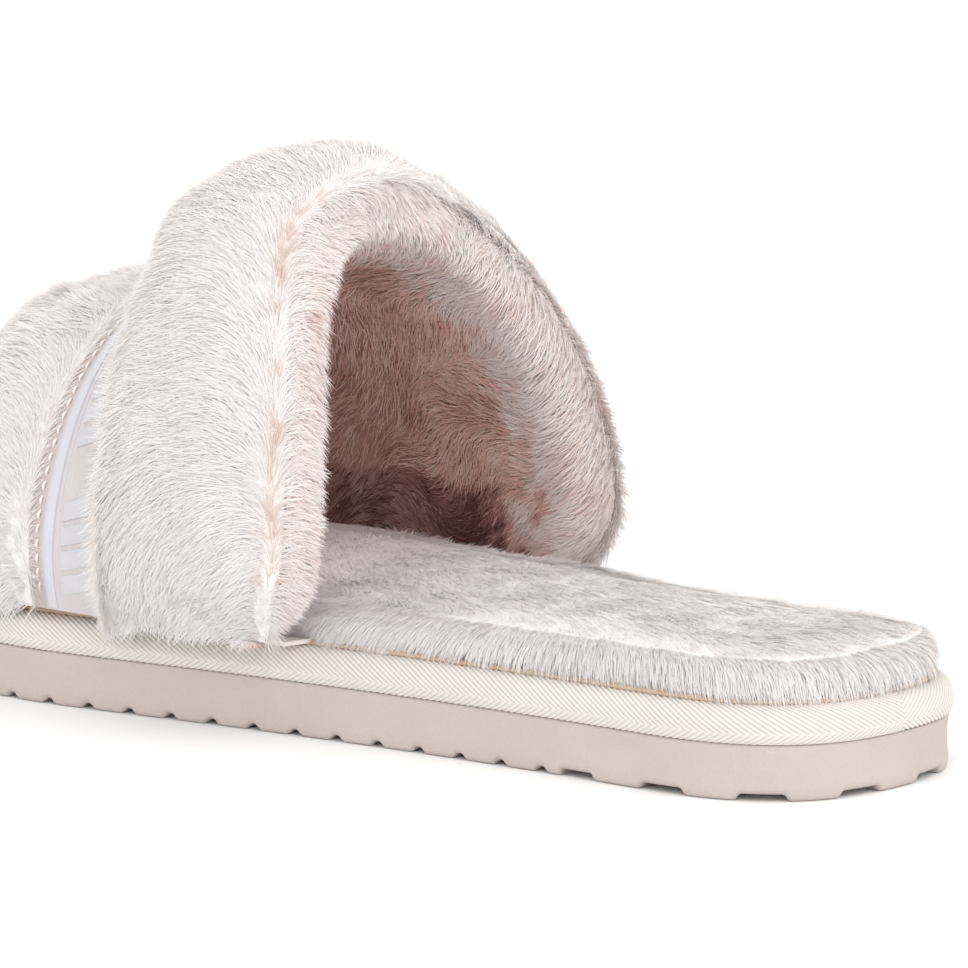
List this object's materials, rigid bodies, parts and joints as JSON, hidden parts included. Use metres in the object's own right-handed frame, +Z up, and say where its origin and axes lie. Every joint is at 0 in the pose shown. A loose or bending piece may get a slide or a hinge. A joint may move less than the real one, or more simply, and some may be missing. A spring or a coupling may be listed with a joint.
{
  "type": "house slipper",
  "caption": "Open-toe fluffy slide slipper with padded fur rolls held by an elastic band over a fur footbed on a tape-bound platform sole.",
  "frame": {"origin": "on the floor, under the middle of the slipper's box", "axes": "+Z up, +Y from the toe towards the heel along the length, +X towards the outer side of a left foot"},
  "size_m": [0.1214, 0.269, 0.1166],
  "materials": {
    "outsole_rubber": "matte moulded",
    "eva_foam": "matte foam",
    "tape_cotton": "herringbone twill",
    "fibre_board": "pressed fibre",
    "fur": "short soft pile",
    "lining_fur": "short soft pile",
    "fibre_fill": "loose fibre",
    "backing_knit": "knit",
    "elastic": "woven elastic webbing",
    "print_film": "satin raised print",
    "thread": "bright lustrous thread"
  },
  "bodies": {
    "root": {"outsole": "outsole_rubber", "platform_foam": "eva_foam", "binding_tape": "tape_cotton", "bottom_filler": "eva_foam", "insole_board": "fibre_board", "footbed_foam": "eva_foam", "footbed_fur": "fur", "lasting_margin_left": "backing_knit", "lasting_margin_right": "backing_knit", "upper_lining": "lining_fur", "vamp_backing": "backing_knit", "front_roll_cover": "fur", "front_roll_padding": "fibre_fill", "rear_roll_cover": "fur", "rear_roll_padding": "fibre_fill", "elastic_band": "elastic", "band_stripe": "print_film", "band_motif": "print_film", "band_stitches": "thread"}
  },
  "joints": []
}
